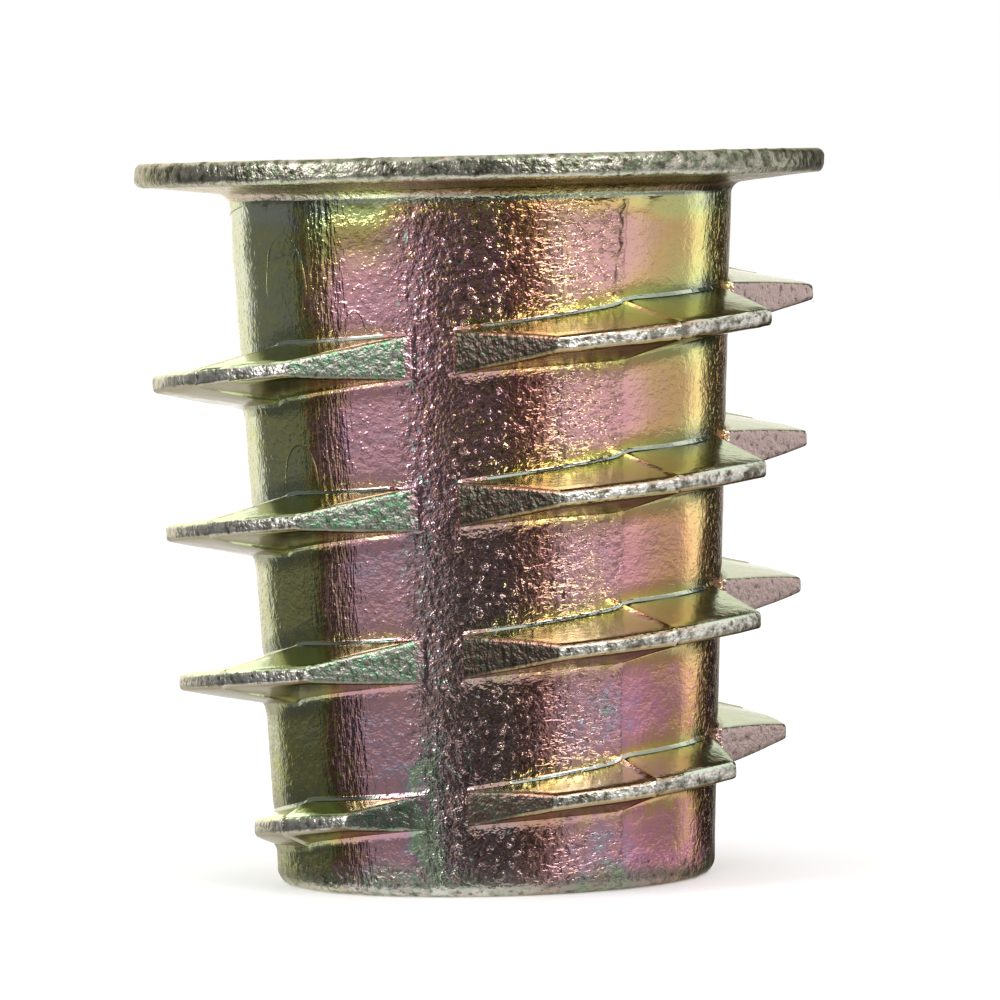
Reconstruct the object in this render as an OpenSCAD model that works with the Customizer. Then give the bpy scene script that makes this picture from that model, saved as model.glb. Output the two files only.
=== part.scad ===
// Screw-in insert nut for wood: one zinc die casting, with a notched knife thread
// outside, a hexagon socket in the flange end and a bolt hole through the narrow end.
// It stands on its narrow end. The notches of the thread face -Y, +X, +Y and -X.

/* [Body] */
// Height from the narrow end to the top of the flange
height = 20; // [16:0.5:30]
// Diameter of the body just under the flange
body_d = 13.9; // [13.5:0.1:16]
// Diameter of the body at the narrow end
tip_d = 12.1; // [11.5:0.1:14]
// Radius of the round edge at the narrow end
tip_round = 0.4; // [0.1:0.05:0.8]

/* [Flange] */
// Diameter of the flange
flange_d = 19.05; // [17.5:0.1:26]
// Thickness of the flange at its rim
flange_t = 0.65; // [0.5:0.05:2]
// Radius of the rim's two edges
rim_round = 0.2; // [0.05:0.01:0.24]
// Slope of the flange's underside, in degrees
underside_slope = 6; // [2:1:15]
// Radius of the fillet between the underside and the body
flange_fillet = 0.35; // [0.2:0.05:1]

/* [Wood thread] */
// Rise of the thread in one turn
pitch = 4.1; // [3.4:0.1:6]
// Diameter over the crest at the thread's upper end
thread_d = 19.1; // [17:0.1:24]
// Taper of the crest on each side, in degrees
thread_taper = 3.8; // [1:0.1:6]
// Height of the crest where the thread ends, under the flange
thread_top = 16.75; // [12:0.05:26]
// Height of the crest where the thread begins, at the narrow end
thread_start = 0.9; // [0.85:0.05:3]
// Width of the crest
crest_t = 0.42; // [0.2:0.02:0.8]
// Width of the thread's root beside a notch
root_t = 1.28; // [1:0.02:1.6]
// Small flat along the crest's two edges
crest_edge = 0.07; // [0.02:0.01:0.08]
// Angle of the lead-in cone that cuts the first turn, in degrees
lead_angle = 27.5; // [15:1:40]
// Height of the thread over the body at the start of the lead-in cone
lead_step = 0.15; // [0.05:0.05:0.5]
// Turn in degrees over which the thread rises out of the body
run_in = 60; // [30:5:90]

/* [Notches] */
// Number of notches in a turn, with one slide of the die behind each
notch_count = 4; // [3:1:6]
// Angle from a notch's middle to the foot of its ramps
notch_foot = 4.7; // [3:0.1:8]
// Angle from a notch's middle to where its ramps reach the crest
notch_corner = 24.4; // [18:0.1:26]
// Height of the small wall at the foot of the ramp on the rising side
notch_step = 0.18; // [0.05:0.01:0.3]
// Draft that widens the root away from a slide's middle, in degrees
slide_draft = 5; // [1:0.5:8]
// Step between the roots of two slides where they part
split_step = 0.18; // [0.05:0.01:0.3]

/* [Socket and bolt hole] */
// Width across the flats of the hexagon socket
hex_af = 10; // [8:0.1:10.2]
// Depth of the hexagon socket
hex_depth = 7; // [5:0.5:9]
// Depth of the chamfer round the socket's mouth
mouth_chamfer = 0.4; // [0.1:0.05:0.6]
// Width of the gap between the socket's corners and that chamfer's edge
mouth_land = 0.15; // [0.05:0.05:0.4]
// Diameter of the bolt hole, at the crests of its thread
bolt_hole_d = 8.5; // [6.8:0.1:8.8]
// Depth of the countersinks at the bolt hole's two ends
bolt_chamfer = 0.75; // [0.3:0.05:0.8]

/* [Hidden] */

overlap = 0.01;              // how far a cut runs past the face it opens
arc_steps = 5;               // straight pieces in each small arc
body_r = body_d / 2;
tip_r = tip_d / 2;
flange_r = flange_d / 2;
hex_corner_r = hex_af / 2 / cos(30);
land_angle = 360 / notch_count;
half_land = land_angle / 2;
split_half = 0.5;            // half the angle in which one slide's root gives way to the next
ramp_steps = 4;              // rings along a ramp
crown_steps = 3;             // rings from a ramp's corner to the split line
root_sink = 0.25;            // how far the thread reaches into the body
end_sink = 0.1;              // how far a land's ends lie under the body's face
thread_end_angle = 90;       // the thread's upper end is at the notch that faces +Y

// Height where the straight taper of the body meets the fillet
underside_drop = (flange_r - body_r) * tan(underside_slope);
taper_top = height - flange_t - underside_drop - flange_fillet;

// Radius of the body's tapered face, of the crest and of the lead-in cone at a height
function body_at(z) = tip_r + (body_r - tip_r) * z / taper_top;
function crest_at(z) = thread_d / 2 - (thread_top - z) * tan(thread_taper);
function lead_at(z) = tip_r + lead_step + z * tan(lead_angle);
function envelope_at(z) = min(crest_at(z), lead_at(z));

// Height of the crest's middle, after the given angle from the thread's upper end
function crest_z(turn) = thread_top + pitch * turn / 360;
start_turn = (thread_start - thread_top) / pitch * 360;
land_count = ceil(-start_turn / land_angle);

// Points of an arc, from one angle to another
function arc(x, z, r, from, to) =
    [for (i = [0:arc_steps]) let (a = from + (to - from) * i / arc_steps)
        [x + r * cos(a), z + r * sin(a)]];

// Radius of a straight ramp between its foot and its corner
function ramp_at(a, foot_r, corner_r) =
    sin(notch_corner - notch_foot)
    / (sin(notch_corner - a) / foot_r + sin(a - notch_foot) / corner_r);

// Angles of a land's rings from the notch below it: foot, ramp, crown, split line and back
half_rings = concat(
    [notch_foot - split_half],
    [for (i = [0:ramp_steps]) notch_foot + (notch_corner - notch_foot) * i / ramp_steps],
    [for (i = [1:crown_steps - 1])
        notch_corner + (half_land - notch_corner) * i / crown_steps],
    [half_land - split_half]);
rings = concat(half_rings,
    [for (i = [len(half_rings) - 1:-1:0]) land_angle - half_rings[i]]);

// One ring of a land: six points round the thread's section at an angle after a notch
function ring(notch_turn, a) =
    let (turn = notch_turn + a,
         z = crest_z(turn),
         from_slide = a < half_land ? a : a - land_angle,
         rising = from_slide > 0,
         off = abs(from_slide),
         body = body_at(z),
         full = envelope_at(z),
         foot_r = body + (rising ? notch_step : -end_sink / 2),
         ramp = off < notch_foot ? body - end_sink
              : off < notch_corner ? ramp_at(off, foot_r, full) : full,
         rise = body - end_sink + (full - body) * max(0, turn - start_turn) / run_in,
         r = min(full, ramp, rise),
         size = sqrt((full - body) / (crest_at(z) - body)),
         root_half = crest_t / 2 + (root_t - crest_t) / 2 * size
                   + body * (1 - cos(off)) * tan(slide_draft),
         root_z = z - split_step / 2 * sin(from_slide) / sin(half_land),
         radii = [body - root_sink, r - crest_edge, r],
         part = [for (q = radii) (q - body) / (full - body)],
         mid = [for (f = part) root_z + (z - root_z) * f],
         half = [for (f = part) root_half + (crest_t / 2 - root_half) * f],
         edge_half = half[2] - crest_edge)
    [for (p = [[radii[0], mid[0] - half[0]], [radii[1], mid[1] - half[1]],
               [radii[2], mid[2] - edge_half], [radii[2], mid[2] + edge_half],
               [radii[1], mid[1] + half[1]], [radii[0], mid[0] + half[0]]])
        [p[0] * cos(turn + thread_end_angle), p[0] * sin(turn + thread_end_angle), p[1]]];

// One land of the thread, between the notch below it and the next one
module land(number) {
    notch_turn = -land_angle * number;
    first = max(rings[0], start_turn - notch_turn);
    angles = concat([first], [for (a = rings) if (a > first + 2 * split_half) a]);
    points = [for (a = angles) each ring(notch_turn, a)];
    last = len(angles) - 1;
    sides = [for (i = [0:last - 1], k = [0:5]) let (n = (k + 1) % 6)
        [6 * i + k, 6 * i + n, 6 * i + 6 + n, 6 * i + 6 + k]];
    polyhedron(points, concat([[5, 4, 3, 2, 1, 0]], sides,
        [[for (k = [0:5]) 6 * last + k]]), convexity = 4);
}

// The revolved blank: tapered body with its flange
module blank() {
    rim_x = flange_r - rim_round;
    rim_z = height - flange_t;
    fillet_x = body_r + flange_fillet;
    slope_z = rim_z - (rim_x - fillet_x) * tan(underside_slope);
    fillet_z = slope_z - flange_fillet;
    rotate_extrude($fn = 180)
        polygon(concat(
            [[0, 0]],
            arc(tip_r - tip_round, tip_round, tip_round, -90, 0),
            arc(fillet_x, fillet_z, flange_fillet, 180, 90 + underside_slope),
            arc(rim_x, rim_z + rim_round, rim_round, -90, 0),
            arc(rim_x, height - rim_round, rim_round, 0, 90),
            [[0, height]]));
}

// Hexagon socket, with a chamfered mouth
module socket() {
    mouth_r = hex_corner_r + mouth_land;
    translate([0, 0, height - hex_depth])
        cylinder(h = hex_depth + overlap, r = hex_corner_r, $fn = 6);
    translate([0, 0, height - mouth_chamfer])
        cylinder(h = mouth_chamfer + overlap, r1 = mouth_r - mouth_chamfer,
                 r2 = mouth_r + overlap, $fn = 90);
}

// Bolt hole from the narrow end to the socket, countersunk at both ends
module bolt_hole() {
    hole_r = bolt_hole_d / 2;
    sink_r = hole_r + bolt_chamfer;
    hole_top = height - hex_depth;
    translate([0, 0, -overlap])
        cylinder(h = hole_top + 2 * overlap, r = hole_r, $fn = 90);
    translate([0, 0, -overlap])
        cylinder(h = bolt_chamfer + overlap, r1 = sink_r + overlap, r2 = hole_r, $fn = 90);
    translate([0, 0, hole_top - bolt_chamfer])
        cylinder(h = bolt_chamfer, r1 = hole_r, r2 = sink_r, $fn = 90);
}

module insert() {
    color([0.72, 0.62, 0.55])
    difference() {
        union() {
            blank();
            for (number = [1:land_count])
                land(number);
        }
        socket();
        bolt_hole();
    }
}

insert();
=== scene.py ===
import math

import bpy
import numpy as np
from mathutils import Matrix, Vector


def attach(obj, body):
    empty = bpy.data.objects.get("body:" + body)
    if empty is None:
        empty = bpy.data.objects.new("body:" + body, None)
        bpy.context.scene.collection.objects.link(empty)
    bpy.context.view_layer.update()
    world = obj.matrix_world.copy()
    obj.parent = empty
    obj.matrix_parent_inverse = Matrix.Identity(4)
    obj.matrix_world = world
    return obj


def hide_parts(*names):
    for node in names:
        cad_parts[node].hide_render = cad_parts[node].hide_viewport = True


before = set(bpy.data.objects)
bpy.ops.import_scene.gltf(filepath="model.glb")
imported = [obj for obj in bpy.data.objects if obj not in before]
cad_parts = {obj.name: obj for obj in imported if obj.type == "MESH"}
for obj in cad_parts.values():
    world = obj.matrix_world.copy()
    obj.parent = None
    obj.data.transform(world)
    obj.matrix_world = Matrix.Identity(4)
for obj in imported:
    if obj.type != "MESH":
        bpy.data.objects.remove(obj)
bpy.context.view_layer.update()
mm = 0.001
print("stage: frame loaded")


def deselectAll():
    if bpy.context.object and bpy.context.object.mode == "EDIT":
        bpy.ops.object.mode_set(mode="OBJECT")
    bpy.ops.object.select_all(action="DESELECT")


def makeActive(piece):
    deselectAll()
    piece.select_set(True)
    bpy.context.view_layer.objects.active = piece


# Camera: a long lens from a little over the flange, turned slightly to the right of the -Y notch

cameraSettings = {
    "distance": 0.2,          # from the axis of the insert
    "height": 0.01954,
    "azimuth": 11.1,          # degrees round from -Y towards +X
    "pitch": 2.6,             # degrees down
    "yaw": 0.1,               # degrees to the right
    "roll": 1.4,              # degrees that the view leans
    "lens": 259.85,
}


def addCamera(s):
    turn = math.radians(s["azimuth"])
    place = (s["distance"] * math.sin(turn), -s["distance"] * math.cos(turn), s["height"])
    aim = (Matrix.Rotation(turn - math.radians(s["yaw"]), 4, "Z")
           @ Matrix.Rotation(math.radians(90 - s["pitch"]), 4, "X")
           @ Matrix.Rotation(math.radians(-s["roll"]), 4, "Z"))
    deselectAll()
    bpy.ops.object.camera_add(location=place, rotation=aim.to_euler())
    camera = bpy.context.object
    camera.name = "viewCamera"
    camera.data.lens = s["lens"]
    camera.data.clip_start = 0.01
    bpy.context.scene.camera = camera
    return camera


addCamera(cameraSettings)
print("stage: camera in place")


# Casting: the sizes of the die casting, in millimetres and degrees

casting = {
    "height": 20.0,
    "bodyRadius": 6.95,
    "tipRadius": 6.05,
    "tipRound": 0.4,
    "flangeRadius": 9.525,
    "flangeThickness": 0.65,
    "rimRound": 0.2,
    "undersideSlope": 6.0,
    "flangeFillet": 0.35,
    "pitch": 4.1,
    "threadRadius": 9.55,       # at the thread's upper end
    "threadTaper": 3.8,
    "threadTop": 16.75,
    "threadStart": 0.9,
    "crestWidth": 0.42,
    "rootWidth": 1.2,
    "leadAngle": 38.0,
    "leadStep": -0.5,
    "runIn": 60.0,
    "notchFoot": 4.7,
    "notchCorner": 23.4,
    "notchStep": 0.18,
    "endSink": 0.1,
    "slideDraft": 5.0,
    "splitStep": 0.12,
    "splitFlash": 0.03,         # height of the thin line left where two slides part
    "cornerRound": 0.12,         # how far a ramp's corner is worn round
    "rootSlant": 0.09,          # slanted strip that joins the thread to the body, and how far it stands out
    "rootOut": 0.055,
    "crestRound": 0.13,
    "nearThread": 0.3,         # how far the thread's nearness reaches over the body
    "hexHalf": 5.0,
    "hexDepth": 7.0,
    "hexCornerRound": 0.25,
    "mouthRadius": 5.9235,
    "mouthChamfer": 0.4,
    "boreRadius": 4.25,
    "boltThreadRadius": 5.0,
    "boltPitch": 1.5,
    "boltChamfer": 0.75,
}
c = casting


def tanDeg(a):
    return math.tan(math.radians(a))


undersideWidth = c["flangeRadius"] - c["rimRound"] - c["bodyRadius"] - c["flangeFillet"]
undersideDrop = undersideWidth * tanDeg(c["undersideSlope"])
taperTop = c["height"] - c["flangeThickness"] - undersideDrop - c["flangeFillet"]
startTurn = (c["threadStart"] - c["threadTop"]) / c["pitch"] * 360
firstNotch = math.ceil(startTurn / 90) * 90        # nothing stands out before the first notch

# Columns of the mesh: angles from a notch's middle to the split line, closer together at each edge
halfColumns = [1.3, 2.8, 4.2, 4.7, 6.2, 8, 10, 12, 14, 16, 18, 20, 21.6, 22.7, 23.4, 24.1, 26, 28.7,
               30, 31.3, 33, 35, 37, 39, 41, 43, 44.3]
quarter = [0] + halfColumns + [45] + [90 - a for a in reversed(halfColumns)]
columns = np.array([90 * q + a for q in range(4) for a in quarter] + [360.0])


def bodyAt(z):
    return c["tipRadius"] + (c["bodyRadius"] - c["tipRadius"]) * z / taperTop


def envelopeAt(z):
    crest = c["threadRadius"] - (c["threadTop"] - z) * tanDeg(c["threadTaper"])
    lead = c["tipRadius"] + c["leadStep"] + z * tanDeg(c["leadAngle"])
    return np.minimum(crest, lead), crest


def threadSection(turn):
    # The thread where it has turned so far back from its upper end: its height over the body and its widths
    z = c["threadTop"] + c["pitch"] * turn / 360
    fromSlide = (turn + 45) % 90 - 45
    off = np.abs(fromSlide)
    foot, corner = c["notchFoot"], c["notchCorner"]
    body = bodyAt(z)
    full, crest = envelopeAt(z)
    full = np.maximum(full, body + 0.05)
    rising = fromSlide > 0
    footRadius = body + np.where(rising, c["notchStep"], -c["endSink"] / 2)
    a = np.radians(np.clip(off, foot, corner))
    span = math.sin(math.radians(corner - foot))
    ramp = span / (np.sin(math.radians(corner) - a) / footRadius + np.sin(a - math.radians(foot)) / full)
    ramp = np.where(off < foot - 1e-6, body - c["endSink"], ramp)
    rise = body - c["endSink"] + (full - body) * np.maximum(0, turn - startTurn) / c["runIn"]
    worn = np.maximum(c["cornerRound"] - np.abs(full - ramp), 0) ** 2 / (4 * c["cornerRound"])
    radius = np.minimum(np.minimum(full, ramp) - worn * (off > foot + 0.1), rise)
    radius = np.where((turn > 0) | (turn < firstNotch), body, radius)
    radius = np.maximum(radius, body)
    size = np.sqrt((full - body) / np.maximum(crest - body, 0.05))
    rootHalf = (c["crestWidth"] / 2 + (c["rootWidth"] - c["crestWidth"]) / 2 * size
                + body * (1 - np.cos(np.radians(off))) * tanDeg(c["slideDraft"]))
    swing = np.sin(np.radians(fromSlide)) / math.sin(math.radians(45)) * np.clip((45 - off) / 2.5, 0, 1)
    rootZ = z - c["splitStep"] / 2 * swing
    flash = c["splitFlash"] * (off > 44.9)
    return {"z": z, "body": body, "full": full, "radius": radius + flash * (radius > body + 0.1),
            "rootHalf": rootHalf + flash, "rootZ": rootZ, "off": off, "rising": rising, "flash": flash}


def sectionRows(turn):
    # Rows across one run of the thread, from the body under it to the body over it. A row holds its radius,
    # its height and four notes for the finish: height over the body, flank, ramp, and how near the thread is
    t = threadSection(turn)
    rise = t["radius"] - t["body"]
    part = rise / (t["full"] - t["body"])
    topMid = t["rootZ"] + (t["z"] - t["rootZ"]) * part
    topHalf = t["rootHalf"] + (c["crestWidth"] / 2 + t["flash"] - t["rootHalf"]) * part
    onRamp = (t["off"] < c["notchCorner"] - 0.3) & (rise > 1e-6)
    ramp = np.where(onRamp, np.where(t["rising"], 1.0, -1.0), 0.0)
    near = np.clip(rise / 0.8, 0, 1)
    rows = []
    for side in (-1, 1):
        rootEdge = t["rootZ"] + side * t["rootHalf"]
        topEdge = topMid + side * topHalf
        lean = np.sqrt(rise ** 2 + (topEdge - rootEdge) ** 2) + 1e-6
        slant = np.minimum(c["rootSlant"], 0.45 * lean) * (rise > 1e-6)
        out = np.minimum(c["rootOut"], 0.2 * lean) * (rise > 1e-6)
        edge = np.minimum(c["crestRound"], 0.45 * lean) * (rise > 1e-6)
        upR, upZ = rise / lean, (topEdge - rootEdge) / lean
        half = []
        for k in range(5):                                     # slanted strip at the root
            q = k / 4
            r = t["body"] + q * out * upR
            z = rootEdge + (1 - q) * side * slant + q * out * upZ
            half.append((r, z, q * out * upR, side * 0.2 * q * near, 0, side * near))
        for k in range(1, 6):                                  # flank
            q = out + (lean - out - edge) * k / 6
            half.append((t["body"] + q * upR, rootEdge + q * upZ, q * upR, side * near, 0, side * near))
        for k in range(4):                                     # rounded edge of the crest
            q = k / 3
            back = (1 - q) ** 2 * edge
            r = t["radius"] - back * upR
            z = topEdge - back * upZ - q * q * edge * side
            half.append((r, z, r - t["body"], side * (1 - q) * near, q * ramp, side * near))
        if side == -1:
            rows += half
            flatFrom = half[-1]
        else:
            flatTo = half[-1]
            for k in range(1, 5):                              # the crest itself
                z = flatFrom[1] + (flatTo[1] - flatFrom[1]) * k / 5
                rows.append((t["radius"], z, rise, 0, ramp, (2 * k / 5 - 1) * near))
            rows += half[::-1]
    return rows


def wallRows():
    # All rows of the outer wall, from the bolt hole across the end face and up to the flange's fillet
    rows = []
    low, high = c["tipRound"], taperTop
    slots = []
    for number in range(5, -1, -1):
        section = sectionRows(columns - 360 * number)
        slots.append([(np.where((z > low) & (z < high), r, bodyAt(np.clip(z, low, high))),
                       np.clip(z, low, high), *notes) for r, z, *notes in section])
    inner = c["tipRadius"] - c["tipRound"]
    sink = c["boreRadius"] + c["boltChamfer"]
    for k in range(3):                                         # end face round the bolt hole
        rows.append((sink + (inner - sink) * k / 3, 0, 0, 0, 0, 0))
    for k in range(6):                                         # round edge of the tip
        a = math.radians(90 * k / 6)
        rows.append((inner + (bodyAt(low) - inner) * math.sin(a), low - low * math.cos(a), 0, 0, 0, 0))
    lowEdge = (bodyAt(low) + 0 * columns, low + 0 * columns, 0, 0, 0, 0)
    highEdge = (bodyAt(high) + 0 * columns, high + 0 * columns, 0, 0, 0, 0)
    edges = [[lowEdge]] + slots + [[highEdge]]
    count = 10                                                 # rows between two runs of the thread
    for i in range(len(edges) - 1):
        rows += edges[i]
        start, end = edges[i][-1], edges[i + 1][0]
        for k in range(1, count):
            z = start[1] + (end[1] - start[1]) * k / count
            over, under = (z - start[1]) / c["nearThread"], (end[1] - z) / c["nearThread"]
            near = start[5] * np.exp(-over) + end[5] * np.exp(-under)
            rows.append((bodyAt(z), z, 0, 0, 0, near))
    return rows + edges[-1]


def wrapGrid(name, rows, angleShift=0.0):
    # A flat grid bent round the axis: each of its rows is given a radius and a height for every column
    deselectAll()
    bpy.ops.mesh.primitive_grid_add(x_subdivisions=len(columns) - 1, y_subdivisions=len(rows) - 1, size=1)
    sheet = bpy.context.object
    sheet.name = name
    angle = np.radians(columns + angleShift)
    place = np.zeros((len(rows), len(columns), 3))
    for i, row in enumerate(rows):
        place[i, :, 0] = row[0] * np.cos(angle)
        place[i, :, 1] = row[0] * np.sin(angle)
        place[i, :, 2] = row[1]
    sheet.data.vertices.foreach_set("co", (place * mm).astype(np.float32).ravel())
    sheet.data.update()
    return sheet


def writeNote(sheet, name, rows, index):
    # Keeps one number of every row as a point attribute that the finish reads
    note = sheet.data.attributes.new(name, "FLOAT", "POINT")
    values = np.zeros((len(rows), len(columns)))
    for i, row in enumerate(rows):
        values[i] = row[index]
    note.data.foreach_set("value", values.astype(np.float32).ravel())


def addOuterWall():
    rows = wallRows()
    wall = wrapGrid("outerWall", rows, 90)
    for index, name in ((2, "rise"), (3, "flank"), (4, "ramp"), (5, "near")):
        writeNote(wall, name, rows, index)
    return wall


def boltThreadRows():
    # The M10 thread in the bore, as rows that climb with it, cut by the countersinks at its two ends
    depth = c["boltThreadRadius"] - c["boreRadius"]
    shape = [(0, 0), (0.25, 0), (0.34, 0.29), (0.47, 0.71), (0.5625, 1), (0.6875, 1), (0.78, 0.71),
             (0.91, 0.29)]
    high = c["height"] - c["hexDepth"]
    rows = []
    lowTurn = -2
    for turn in range(lowTurn, 10):
        for at, deep in shape:
            z = np.clip(c["boltPitch"] * (turn + at + columns / 360), 0, high)
            sink = np.maximum(c["boltChamfer"] - z, c["boltChamfer"] - (high - z))
            r = np.maximum(c["boreRadius"] + depth * deep, c["boreRadius"] + sink)
            rows.append((r, z))
    return rows


def addBoltThread():
    return wrapGrid("boltThread", boltThreadRows(), 90)


def hexRadius(angle):
    # Radius of the socket's wall at an angle in degrees, with its rounded corners
    off = np.radians((angle + 30) % 60 - 30)
    flat = c["hexHalf"] / np.cos(math.radians(30) - np.abs(off))
    round = c["hexCornerRound"]
    middle = (c["hexHalf"] - round) / math.cos(math.radians(30))
    under = np.maximum(round ** 2 - (middle * np.sin(off)) ** 2, 0)
    touch = math.atan(round * 0.5 / (middle + round * math.cos(math.radians(30))))
    return np.where(np.abs(off) < touch, middle * np.cos(off) + np.sqrt(under), flat)


def arcPoints(x, z, radius, start, end, steps):
    out = []
    for k in range(steps + 1):
        a = math.radians(start + (end - start) * k / steps)
        out.append((x + radius * math.cos(a), z + radius * math.sin(a)))
    return out


def ringProfile():
    # Radius and height of each ring from the body up over the flange and down into the socket
    rimX = c["flangeRadius"] - c["rimRound"]
    rimZ = c["height"] - c["flangeThickness"]
    filletX = c["bodyRadius"] + c["flangeFillet"]
    slopeZ = rimZ - (rimX - filletX) * tanDeg(c["undersideSlope"])
    fillet = c["flangeFillet"]
    points = arcPoints(filletX, slopeZ - fillet, fillet, 180, 90 + c["undersideSlope"], 6)
    startX, startZ = points[-1]
    for k in range(1, 9):
        points.append((startX + (rimX - startX) * k / 9, startZ + (rimZ - startZ) * k / 9))
    points += arcPoints(rimX, rimZ + c["rimRound"], c["rimRound"], -90, 0, 6)
    points += [(c["flangeRadius"], rimZ + c["flangeThickness"] / 2)]
    points += arcPoints(rimX, c["height"] - c["rimRound"], c["rimRound"], 0, 90, 6)
    for k in range(1, 8):
        points.append((rimX + (c["mouthRadius"] + 0.05 - rimX) * k / 7, c["height"]))
    return points


def addFlange():
    # A circle extruded and scaled ring by ring: fillet, underside, rim, top, then the hexagon socket
    points = ringProfile()
    deselectAll()
    bpy.ops.mesh.primitive_circle_add(vertices=len(columns) - 1, radius=points[0][0] * mm,
                                      location=(0, 0, points[0][1] * mm))
    flange = bpy.context.object
    flange.name = "flange"
    bpy.ops.object.transform_apply(location=True, rotation=False, scale=False)
    angle = np.radians(columns[:-1] + 90)
    for v, a in zip(flange.data.vertices, angle):
        v.co = (points[0][0] * mm * math.cos(a), points[0][0] * mm * math.sin(a), points[0][1] * mm)
    bpy.ops.object.mode_set(mode="EDIT")
    bpy.ops.mesh.select_mode(type="VERT")
    bpy.ops.mesh.select_all(action="SELECT")
    for (r0, z0), (r1, z1) in zip(points, points[1:]):
        bpy.ops.mesh.extrude_region_move(TRANSFORM_OT_translate={"value": (0, 0, (z1 - z0) * mm)})
        grow = r1 / r0
        bpy.ops.transform.resize(value=(grow, grow, 1), center_override=(0, 0, 0))
    bpy.ops.object.mode_set(mode="OBJECT")
    addSocket(flange)
    return flange


def placeSelected(piece, radius, height):
    # Puts the ring that was extruded last at a radius and height for each column
    bpy.ops.object.mode_set(mode="OBJECT")
    angle = columns[:-1] + 90
    ring = [v for v in piece.data.vertices if v.select]
    for v in ring:
        a = math.degrees(math.atan2(v.co.y, v.co.x)) % 360
        k = int(np.argmin(np.abs((angle - a + 180) % 360 - 180)))
        turn = math.radians(angle[k])
        r, z = float(radius[k]), float(height[k])
        v.co = (r * mm * math.cos(turn), r * mm * math.sin(turn), z * mm)
    bpy.ops.object.mode_set(mode="EDIT")


def addSocket(piece):
    angle = columns[:-1] + 90
    hexR = hexRadius(angle)
    top = c["height"]
    coneLow = c["mouthRadius"] - c["mouthChamfer"]
    coneTop = top - c["mouthChamfer"]
    ledge = np.maximum(coneLow, hexR)
    cone = [(ledge + (c["mouthRadius"] - 0.02 - ledge) * (1 - k / 3),) for k in range(4)]
    rings = [(r[0], coneTop + (r[0] - coneLow)) for r in cone]
    wallTop = coneTop + np.maximum(0, hexR - coneLow)
    rings.append(((hexR + ledge) / 2, wallTop))
    rings.append((hexR + 0.03 * (ledge - hexR > 0.05), wallTop))
    floorZ = top - c["hexDepth"]
    for k in range(14):
        q = (k + 0.1) / 13.1
        rings.append((hexR, wallTop + (floorZ - wallTop) * q))
    rings[-1] = (hexR, floorZ + 0.04 + 0 * hexR)
    sinkR = c["boreRadius"] + c["boltChamfer"]
    floorEdge = np.maximum(hexR - 0.04, sinkR)
    rings.append((floorEdge, floorZ + 0 * hexR))
    rings.append(((floorEdge + sinkR) / 2, floorZ + 0 * hexR))
    rings.append((sinkR + 0 * hexR, floorZ + 0 * hexR))
    bpy.ops.object.mode_set(mode="EDIT")
    for r, z in rings:
        bpy.ops.mesh.extrude_region_move(TRANSFORM_OT_translate={"value": (0, 0, -0.0001)})
        placeSelected(piece, r, z)
    bpy.ops.object.mode_set(mode="OBJECT")


def joinCasting(parts):
    deselectAll()
    for p in parts:
        p.select_set(True)
    bpy.context.view_layer.objects.active = parts[0]
    bpy.ops.object.join()
    body = bpy.context.object
    body.name = "threadedInsert"
    body.data.name = "threadedInsert"
    bpy.ops.object.mode_set(mode="EDIT")
    bpy.ops.mesh.select_all(action="SELECT")
    bpy.ops.mesh.remove_doubles(threshold=4e-7)
    bpy.ops.mesh.dissolve_degenerate(threshold=2e-7)
    bpy.ops.mesh.select_all(action="SELECT")
    bpy.ops.mesh.normals_make_consistent(inside=False)
    bpy.ops.object.mode_set(mode="OBJECT")
    return body


# unevenness of the casting: group, size of its waves and depth, in millimetres
castWaves = [
    ("skin", 1.3, 0.035),
    ("edges", 0.35, 0.10),
]


def addWaves(piece, waves):
    # The casting's own unevenness: its faces wave a little, and its rim and the thread's crests are ragged
    rise = piece.data.attributes["rise"].data
    groups = {name: piece.vertex_groups.new(name=name) for name in ("skin", "edges")}
    for v in piece.data.vertices:
        radius, height = math.hypot(v.co.x, v.co.y) / mm, v.co.z / mm
        outside = radius > c["tipRadius"] - c["tipRound"] + 0.05 and 0.02 < height < c["height"] - 0.005
        if not outside or (height > c["height"] - c["hexDepth"] - 0.1 and radius < c["mouthRadius"] + 0.1):
            continue
        groups["skin"].add([v.index], 1.0, "REPLACE")
        atRim = radius > c["flangeRadius"] - c["rimRound"] - 0.05
        atTip = height < c["tipRound"]
        if atRim or atTip or rise[v.index].value > 0.8:
            groups["edges"].add([v.index], 1.0 if atRim else 0.8, "REPLACE")
    makeActive(piece)
    for name, size, depth in waves:
        cloud = bpy.data.textures.new(name + "Waves", "CLOUDS")
        cloud.noise_scale = size * mm
        cloud.noise_depth = 2
        wave = piece.modifiers.new(name, "DISPLACE")
        wave.texture = cloud
        wave.texture_coords = "LOCAL"
        wave.vertex_group = name
        wave.strength = depth * mm
        wave.mid_level = 0.5
        bpy.ops.object.modifier_apply(modifier=wave.name)
    piece.vertex_groups.clear()


outerWall = addOuterWall()
print("stage: outer wall", len(outerWall.data.polygons))
boltThread = addBoltThread()
print("stage: bolt thread", len(boltThread.data.polygons))
flange = addFlange()
print("stage: flange and socket", len(flange.data.polygons))
insert = joinCasting([outerWall, boltThread, flange])
addWaves(insert, castWaves)
print("stage: waves")
insert.data.shade_smooth()
makeActive(insert)
bpy.ops.object.shade_smooth_by_angle(angle=math.radians(32))
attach(insert, "root")
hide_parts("insert")

# Finish: zinc with a yellow chromate film, made of shader node groups, with one material for the outside,
# which also paints light and shade into its colours, and one for the inside

def node(tree, kind, place, **settings):
    made = tree.nodes.new(kind)
    made.location = place
    for name, value in settings.items():
        setattr(made, name, value)
    return made


def setInputs(made, values):
    for name, value in values.items():
        made.inputs[name].default_value = value
    return made


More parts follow.
